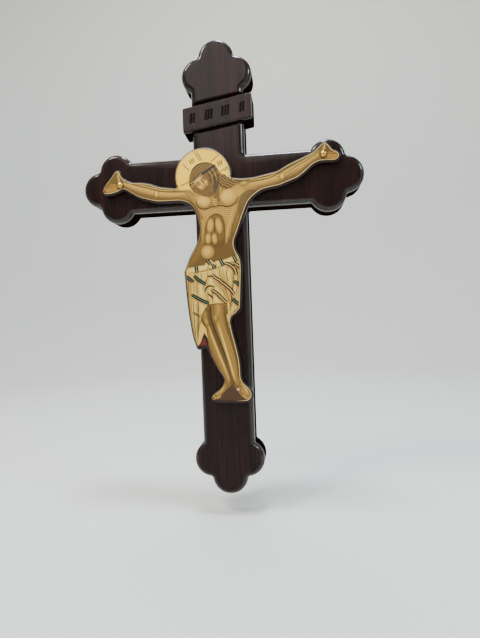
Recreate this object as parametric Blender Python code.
"""A wall crucifix in the Byzantine style.

A dark wooden cross with budded ends and a tilted title band is cut from one
board. A flat cut-out figure, with a halo, lies on its face, held by a
round-headed nail through each palm. Metres, +Z up, the front faces -Y, and
the origin is on the flat back, where the axes of the post and arms cross.
"""

import math

import bmesh
import bpy
from mathutils import Vector

# The cross, cut from one board
CROSS_HEIGHT = 0.254
CROSS_WIDTH = 0.158
ARM_AXIS_FROM_TOP = 0.0795
POST_WIDTH = 0.029
ARM_WIDTH = 0.029
BOARD_THICKNESS = 0.016
FRONT_ROUND = 0.003
BACK_ROUND = 0.0008
CROSSING_FILLET = 0.0012

# The three buds at each end: their radii, and where the side buds' centres
# lie beside the axis and behind the centre of the bud at the tip
TIP_BUD_RADIUS = 0.0100
SIDE_BUD_RADIUS = 0.0100
SIDE_BUD_SPREAD = 0.0097
SIDE_BUD_SETBACK = 0.0097
BUD_FILLET = 0.0018
NECK_FILLET = 0.0010

# The title band: a tilted strip across the upper post, whose ears stand out
# past the post's sides, with a groove above it and one below
BAND_HEIGHT = 0.0137
BAND_ABOVE_ARM_AXIS = 0.0379
BAND_TILT = math.radians(8.7)
EAR_OVERHANG = 0.005
BAND_PROUD = 0.0002
BAND_ROUND = 0.0007
EAR_BACK_STEP = 0.0005
GROOVE_WIDTH = 0.0020
GROOVE_DEPTH = 0.0015
GROOVE_WALL_RUN = 0.0006

# Shallow strokes on the title band, in groups across it
STROKES_IN_GROUPS = (2, 3, 3, 2)
STROKE_GROUP_SPACING = 0.0094
STROKE_SPACING = 0.0016
STROKE_LENGTH = 0.0058
STROKE_WIDTH = 0.0009
STROKE_DEPTH = 0.0006
STROKE_LEAN = math.radians(14)
STROKE_END_SLOPE = 0.3      # share of a stroke's half length over which it runs out

# The flat figure
FIGURE_HEIGHT = 0.141
PLATE_THICKNESS = 0.003
PLATE_ROUND = 0.0008
PLATE_BACK_ROUND = 0.0002

# The nails through the palms
NAIL_HEAD_RADIUS = 0.0017
NAIL_HEAD_RISE = 0.0012
NAIL_SHANK_RADIUS = 0.0007
NAIL_DEPTH_IN_BOARD = 0.006

CLEARANCE = 0.0003      # gap between pieces that touch
CUTTER_MARGIN = 0.002   # how far a cutter reaches past what it cuts
ARC_STEP = 0.0015       # length of one facet on a round outline
CURVE_STEP = 0.0017     # length of one facet on the figure's outline
FRONT_FACETS = 4        # facets across the cross's rounded front edge
EDGE_FACETS = 2         # facets across a small rounded edge
DOME_FACETS = 5         # facets from a nail head's rim to its crown
ROUND_SIDES = 16        # sides of a nail and of its hole

# The figure's outline, clockwise from its halo, in hundredths of its height
# from the crossing of the axes. Each stretch is one smooth curve, and two
# stretches meet in a corner.
HALO_CENTRE = (-6.0, 1.5)
HALO_RADIUS = 11.55
HALO_ENDS = (math.radians(197), math.radians(-4))
PALMS = {"left": (-39.6, 0.4), "right": (40.5, 7.0)}
FIGURE_STRETCHES = {
    "top of the right arm": [
        (5.5, 0.7), (8.4, 0.2), (12.9, 0.2), (17.6, 1.0), (22.7, 2.0),
        (26.8, 4.1), (34.4, 7.2), (37.0, 8.5), (40.1, 11.2), (41.4, 11.8),
        (42.6, 11.0), (44.4, 8.7)],
    "fingers of the right hand": [
        (44.4, 8.7), (46.4, 7.6), (47.1, 6.3), (46.6, 4.7), (44.9, 3.7),
        (42.9, 3.7), (39.1, 3.7), (36.8, 2.7), (34.7, 1.0), (31.1, -1.7),
        (27.1, -3.2), (23.6, -4.4), (19.8, -5.0), (16.8, -5.7),
        (13.7, -7.7), (11.8, -9.7), (10.0, -13.5), (7.4, -20.2),
        (5.8, -24.5), (6.1, -27.3), (7.8, -30.9), (8.2, -34.0),
        (7.8, -42.2), (7.5, -47.2), (7.1, -50.7)],
    "hem on the right": [
        (7.1, -50.7), (5.3, -52.6), (3.8, -53.7), (3.3, -55.2),
        (3.9, -59.3), (5.1, -64.6), (6.1, -69.4), (6.5, -73.5),
        (6.7, -77.5), (7.8, -79.5), (9.5, -81.1), (10.7, -83.4),
        (10.3, -85.6), (8.9, -86.8), (7.6, -87.1)],
    "footrest": [(7.6, -87.1), (-4.2, -86.8)],
    "toes and leg on the left": [
        (-4.2, -86.8), (-5.8, -85.9), (-6.0, -84.5), (-4.6, -83.0),
        (-2.7, -81.6), (-1.4, -80.0), (-0.9, -77.8), (-2.8, -74.4),
        (-4.8, -70.5), (-7.1, -65.4)],
    "end of the cloth": [(-7.1, -65.4), (-10.5, -65.9)],
    "cloth on the left": [
        (-10.5, -65.9), (-12.1, -62.0), (-13.5, -53.6), (-14.4, -43.9),
        (-14.9, -35.1)],
    "side and left arm": [
        (-14.9, -35.1), (-12.4, -29.3), (-9.7, -24.4), (-8.5, -20.5),
        (-8.6, -17.0), (-9.8, -12.4), (-11.4, -9.8), (-14.6, -8.1),
        (-20.6, -7.8), (-24.7, -7.6), (-27.7, -6.9), (-32.2, -5.4),
        (-36.5, -2.8), (-38.3, -1.9), (-40.3, -2.7), (-44.3, -3.5),
        (-46.4, -3.2), (-47.2, -1.9), (-46.3, 0.4), (-43.4, 3.9),
        (-41.7, 6.0), (-40.4, 6.6), (-39.1, 5.6), (-38.4, 3.9),
        (-37.1, 2.6), (-34.5, 1.5), (-30.6, 1.1), (-27.3, 0.4),
        (-24.3, -0.8), (-20.3, -1.6), (-17.0, -1.9)],
}

ARM_AXIS_FROM_FOOT = CROSS_HEIGHT - ARM_AXIS_FROM_TOP
BOARD_FACE = -BOARD_THICKNESS
PLATE_BACK = BOARD_FACE - CLEARANCE
PLATE_FACE = PLATE_BACK - PLATE_THICKNESS
BAND_FACE = BOARD_FACE - BAND_PROUD


def arc(centre, radius, start, end, clockwise=False):
    """Points on a circle from one angle to another, in facets of one length."""
    if clockwise:
        sweep = -((start - end) % (2 * math.pi))
    else:
        sweep = (end - start) % (2 * math.pi)
    count = max(2, math.ceil(abs(sweep) * radius / ARC_STEP))
    angles = [start + sweep * i / count for i in range(count + 1)]
    return [Vector((centre[0] + radius * math.cos(a),
                    centre[1] + radius * math.sin(a))) for a in angles]


def bearing(start, end):
    """Angle of the line from one point to another."""
    return math.atan2(end[1] - start[1], end[0] - start[0])


def budded_end(reach, half_width):
    """Outline of one end, as (across, out) from its right side to its left.

    A bud is a circle. Small concave arcs join it to its neighbour and to the
    straight side; each touches both, so its centre lies at the sum of the
    radii from a bud's centre.
    """
    tip = Vector((0.0, reach - TIP_BUD_RADIUS))
    side = Vector((SIDE_BUD_SPREAD, tip.y - SIDE_BUD_SETBACK))
    to_tip = TIP_BUD_RADIUS + BUD_FILLET
    to_side = SIDE_BUD_RADIUS + BUD_FILLET
    line = tip - side
    along = (line.length_squared + to_side ** 2 - to_tip ** 2) / (2 * line.length)
    off = math.sqrt(to_side ** 2 - along ** 2)
    forward = line.normalized()
    between = side + forward * along + Vector((forward.y, -forward.x)) * off

    neck_x = half_width + NECK_FILLET
    to_neck = SIDE_BUD_RADIUS + NECK_FILLET
    drop = math.sqrt(to_neck ** 2 - (neck_x - side.x) ** 2)
    neck = Vector((neck_x, side.y - drop))

    points = arc(neck, NECK_FILLET, math.pi, bearing(neck, side), clockwise=True)
    points += arc(side, SIDE_BUD_RADIUS, bearing(side, neck), bearing(side, between))
    points += arc(between, BUD_FILLET, bearing(between, side), bearing(between, tip),
                  clockwise=True)
    points += arc(tip, TIP_BUD_RADIUS, bearing(tip, between), math.pi / 2)
    points = without_repeats(points)
    mirrored = [Vector((-p.x, p.y)) for p in reversed(points[:-1])]
    return points + mirrored


def without_repeats(points):
    """The same points, with any that sits on the one before it left out."""
    kept = [points[0]]
    for point in points[1:]:
        if (point - kept[-1]).length > 1e-6:
            kept.append(point)
    return kept


def cross_outline():
    """Outline of the cross in X and Z, counter-clockwise."""
    ends = [
        (Vector((1, 0)), CROSS_WIDTH / 2, ARM_WIDTH / 2),
        (Vector((0, 1)), ARM_AXIS_FROM_TOP, POST_WIDTH / 2),
        (Vector((-1, 0)), CROSS_WIDTH / 2, ARM_WIDTH / 2),
        (Vector((0, -1)), ARM_AXIS_FROM_FOOT, POST_WIDTH / 2),
    ]
    outline = []
    for i, (out, reach, half_width) in enumerate(ends):
        right = Vector((out.y, -out.x))
        outline += [out * p.y + right * p.x for p in budded_end(reach, half_width)]
        next_out, _, next_half_width = ends[(i + 1) % len(ends)]
        corner = (out * (next_half_width + CROSSING_FILLET)
                  + next_out * (half_width + CROSSING_FILLET))
        start = bearing((0, 0), -next_out)
        outline += arc(corner, CROSSING_FILLET, start, start - math.pi / 2, clockwise=True)
    return without_repeats(outline)


def inset(outline, distance):
    """A counter-clockwise outline moved inwards by a distance, mitred."""
    result = []
    count = len(outline)
    for i, point in enumerate(outline):
        before = (point - outline[i - 1]).normalized()
        after = (outline[(i + 1) % count] - point).normalized()
        middle = (before + after).normalized()
        inward = Vector((-middle.y, middle.x))
        share = inward.dot(Vector((-before.y, before.x)))
        result.append(point + inward * distance / max(share, 0.5))
    return result


def mesh_object(name, vertices, faces):
    """An object from vertices and faces, turned to face outwards."""
    mesh = bpy.data.meshes.new(name)
    mesh.from_pydata(vertices, [], faces)
    shape = bmesh.new()
    shape.from_mesh(mesh)
    caps = [face for face in shape.faces if len(face.verts) > 4]
    bmesh.ops.triangulate(shape, faces=caps, ngon_method="EAR_CLIP")
    bmesh.ops.recalc_face_normals(shape, faces=shape.faces)
    shape.to_mesh(mesh)
    shape.free()
    item = bpy.data.objects.new(name, mesh)
    bpy.context.collection.objects.link(item)
    return item


def slab(name, outline, back, face, back_round, front_round, steps):
    """A board of an outline from Y back to Y face, with rounded front edges."""
    levels = [(back_round, back), (0.0, back - back_round)]
    for i in range(steps + 1):
        turn = math.pi / 2 * i / steps
        levels.append((front_round * (1 - math.cos(turn)),
                       face + front_round * (1 - math.sin(turn))))
    vertices = []
    for distance, y in levels:
        ring = inset(outline, distance)
        vertices += [(p.x, y, p.y) for p in ring]
    count = len(outline)
    faces = [list(range(count)), list(range(len(vertices) - count, len(vertices)))]
    for level in range(len(levels) - 1):
        low = level * count
        for i in range(count):
            j = (i + 1) % count
            faces.append([low + i, low + j, low + count + j, low + count + i])
    return mesh_object(name, vertices, faces)


def as_helper(item):
    """Keep a shape that only cuts or joins another out of the model."""
    item.hide_render = True
    item.display_type = "WIRE"
    return item


def combine(target, tool, operation):
    """Cut or join a target with a helper."""
    modifier = target.modifiers.new(tool.name, "BOOLEAN")
    modifier.operation = operation
    modifier.solver = "EXACT"
    modifier.object = tool


def shade(item, colour, roughness, metallic):
    """Round shading and the item's own material."""
    item.data.shade_smooth()
    item.data.set_sharp_from_angle(angle=math.radians(35))
    material = bpy.data.materials.new(item.name)
    material.use_nodes = True
    surface = material.node_tree.nodes["Principled BSDF"]
    surface.inputs["Base Color"].default_value = (*colour, 1.0)
    surface.inputs["Roughness"].default_value = roughness
    surface.inputs["Metallic"].default_value = metallic
    item.data.materials.append(material)


def band_point(along, up):
    """A place on the title band, from its middle, along it and across it."""
    centre = Vector((0.0, BAND_ABOVE_ARM_AXIS))
    direction = Vector((math.cos(BAND_TILT), math.sin(BAND_TILT)))
    return centre + direction * along + Vector((-direction.y, direction.x)) * up


def title_band():
    """The band with its ears: ends upright, upper and lower edges tilted."""
    half_width = POST_WIDTH / 2 + EAR_OVERHANG
    half_height = BAND_HEIGHT / 2 / math.cos(BAND_TILT)
    rise = half_width * math.tan(BAND_TILT)
    middle = BAND_ABOVE_ARM_AXIS
    corners = [(-half_width, middle - rise - half_height),
               (half_width, middle + rise - half_height),
               (half_width, middle + rise + half_height),
               (-half_width, middle - rise + half_height)]
    outline = [Vector(corner) for corner in corners]
    back = -EAR_BACK_STEP
    return slab("title_band_block", outline, back, BAND_FACE, BAND_ROUND, BAND_ROUND, EDGE_FACETS)


def groove_bars():
    """Bars that cut the two grooves, deepest against the band's edge."""
    half_length = POST_WIDTH / 2 / math.cos(BAND_TILT) + CUTTER_MARGIN
    floor = BOARD_FACE + GROOVE_DEPTH
    above = BOARD_FACE - GROOVE_DEPTH
    inner = BAND_HEIGHT / 2 - CUTTER_MARGIN
    outer = BAND_HEIGHT / 2 + GROOVE_WIDTH
    vertices, faces = [], []
    for side in (1, -1):
        profile = [(inner, floor), (outer - GROOVE_WALL_RUN, floor),
                   (outer + GROOVE_WALL_RUN, above), (inner, above)]
        start = len(vertices)
        for along in (-half_length, half_length):
            for up, y in profile:
                place = band_point(along, up * side)
                vertices.append((place.x, y, place.y))
        faces += [[start + i for i in face] for face in (
            (0, 1, 2, 3), (4, 5, 6, 7), (0, 1, 5, 4), (1, 2, 6, 5),
            (2, 3, 7, 6), (3, 0, 4, 7))]
    return mesh_object("groove_bars", vertices, faces)


def stroke_cutters():
    """Slim wedges with pointed keels that cut the strokes in the band."""
    top = BAND_FACE - STROKE_DEPTH
    keel = BAND_FACE + STROKE_DEPTH
    vertices, faces = [], []
    groups = len(STROKES_IN_GROUPS)
    for group, strokes in enumerate(STROKES_IN_GROUPS):
        group_at = (group - (groups - 1) / 2) * STROKE_GROUP_SPACING
        for stroke in range(strokes):
            along = group_at + (stroke - (strokes - 1) / 2) * STROKE_SPACING
            middle = band_point(along, 0.0)
            lean = BAND_TILT - STROKE_LEAN
            up = Vector((-math.sin(lean), math.cos(lean))) * STROKE_LENGTH / 2
            across = Vector((math.cos(lean), math.sin(lean))) * STROKE_WIDTH
            start = len(vertices)
            mouth = up * (1 + STROKE_END_SLOPE)
            bed = up * (1 - STROKE_END_SLOPE)
            for place in (middle - mouth - across, middle - mouth + across,
                          middle + mouth + across, middle + mouth - across):
                vertices.append((place.x, top, place.y))
            for place in (middle - bed, middle + bed):
                vertices.append((place.x, keel, place.y))
            faces += [[start + i for i in face] for face in (
                (0, 1, 2, 3), (0, 1, 4), (1, 2, 5, 4), (2, 3, 5), (3, 0, 4, 5))]
    return mesh_object("stroke_cutters", vertices, faces)


def turned(name, profile, place):
    """A round piece about an axis along Y: the profile is (radius, y)."""
    vertices, faces = [], []
    rings = []
    for radius, y in profile:
        start = len(vertices)
        if radius == 0.0:
            vertices.append((place.x, y, place.y))
            rings.append([start] * ROUND_SIDES)
            continue
        for i in range(ROUND_SIDES):
            turn = 2 * math.pi * i / ROUND_SIDES
            vertices.append((place.x + radius * math.cos(turn), y,
                             place.y + radius * math.sin(turn)))
        rings.append(list(range(start, start + ROUND_SIDES)))
    for low, high in zip(rings, rings[1:]):
        for i in range(ROUND_SIDES):
            j = (i + 1) % ROUND_SIDES
            corners = [low[i], low[j], high[j], high[i]]
            faces.append(list(dict.fromkeys(corners)))
    return mesh_object(name, vertices, faces)


def palm(side):
    """Where the nail goes through a palm, in X and Z."""
    x, z = PALMS[side]
    return Vector((x, z)) * FIGURE_HEIGHT / 100


def nail_holes(name, face, depth):
    """Two round cutters, on the palms, from in front of a face to a depth."""
    radius = NAIL_SHANK_RADIUS + CLEARANCE
    holes = []
    for side in PALMS:
        profile = [(0.0, face - CUTTER_MARGIN), (radius, face - CUTTER_MARGIN),
                   (radius, face + depth), (0.0, face + depth)]
        holes.append(as_helper(turned(name + "_" + side, profile, palm(side))))
    return holes


def nail(side):
    """A nail with a domed head that rests on the figure's face."""
    under_head = PLATE_FACE - CLEARANCE
    point = BOARD_FACE + NAIL_DEPTH_IN_BOARD
    profile = [(0.0, point), (NAIL_SHANK_RADIUS, point - 2 * NAIL_SHANK_RADIUS),
               (NAIL_SHANK_RADIUS, under_head)]
    for i in range(DOME_FACETS):
        turn = math.pi / 2 * i / DOME_FACETS
        profile.append((NAIL_HEAD_RADIUS * math.cos(turn),
                        under_head - NAIL_HEAD_RISE * math.sin(turn)))
    profile.append((0.0, under_head - NAIL_HEAD_RISE))
    return turned("nail_" + side, profile, palm(side))


def smooth_through(points, step):
    """A centripetal Catmull-Rom curve through points, its last one left out."""
    ends = [points[0] * 2 - points[1]] + points + [points[-1] * 2 - points[-2]]
    curve = []
    for p0, p1, p2, p3 in zip(ends, ends[1:], ends[2:], ends[3:]):
        t1 = math.sqrt((p1 - p0).length)
        t2 = t1 + math.sqrt((p2 - p1).length)
        t3 = t2 + math.sqrt((p3 - p2).length)
        count = max(1, round((p2 - p1).length / step))
        for i in range(count):
            t = t1 + (t2 - t1) * i / count
            a1 = p0 * ((t1 - t) / t1) + p1 * (t / t1)
            a2 = p1 * ((t2 - t) / (t2 - t1)) + p2 * ((t - t1) / (t2 - t1))
            a3 = p2 * ((t3 - t) / (t3 - t2)) + p3 * ((t - t2) / (t3 - t2))
            b1 = a1 * ((t2 - t) / t2) + a2 * (t / t2)
            b2 = a2 * ((t3 - t) / (t3 - t1)) + a3 * ((t - t1) / (t3 - t1))
            curve.append(b1 * ((t2 - t) / (t2 - t1)) + b2 * ((t - t1) / (t2 - t1)))
    return curve


def figure_outline():
    """Outline of the flat figure in X and Z, counter-clockwise."""
    unit = FIGURE_HEIGHT / 100
    centre = Vector(HALO_CENTRE) * unit
    outline = arc(centre, HALO_RADIUS * unit, *HALO_ENDS, clockwise=True)[1:-1]
    for stretch in FIGURE_STRETCHES.values():
        points = [Vector(point) * unit for point in stretch]
        if len(points) == 2:
            outline.append(points[0])
        else:
            outline += smooth_through(points, CURVE_STEP)
    last = Vector(FIGURE_STRETCHES["side and left arm"][-1]) * unit
    outline.append(last)
    outline.reverse()
    return without_repeats(outline)


def build_cross():
    cross = slab("cross", cross_outline(), 0.0, BOARD_FACE, BACK_ROUND, FRONT_ROUND, FRONT_FACETS)
    combine(cross, as_helper(groove_bars()), "DIFFERENCE")
    combine(cross, as_helper(title_band()), "UNION")
    combine(cross, as_helper(stroke_cutters()), "DIFFERENCE")
    for hole in nail_holes("nail_hole", BOARD_FACE, NAIL_DEPTH_IN_BOARD + CLEARANCE):
        combine(cross, hole, "DIFFERENCE")
    shade(cross, (0.022, 0.013, 0.011), 0.35, 0.0)


def build_figure_plate():
    plate = slab("figure_plate", figure_outline(), PLATE_BACK, PLATE_FACE,
                 PLATE_BACK_ROUND, PLATE_ROUND, EDGE_FACETS)
    for hole in nail_holes("nail_bore", PLATE_FACE, PLATE_THICKNESS + CUTTER_MARGIN):
        combine(plate, hole, "DIFFERENCE")
    shade(plate, (0.48, 0.30, 0.12), 0.45, 0.0)


def build_nails():
    for side in PALMS:
        shade(nail(side), (0.72, 0.50, 0.20), 0.25, 1.0)


for item in list(bpy.data.objects):
    bpy.data.objects.remove(item)
build_cross()
build_figure_plate()
build_nails()
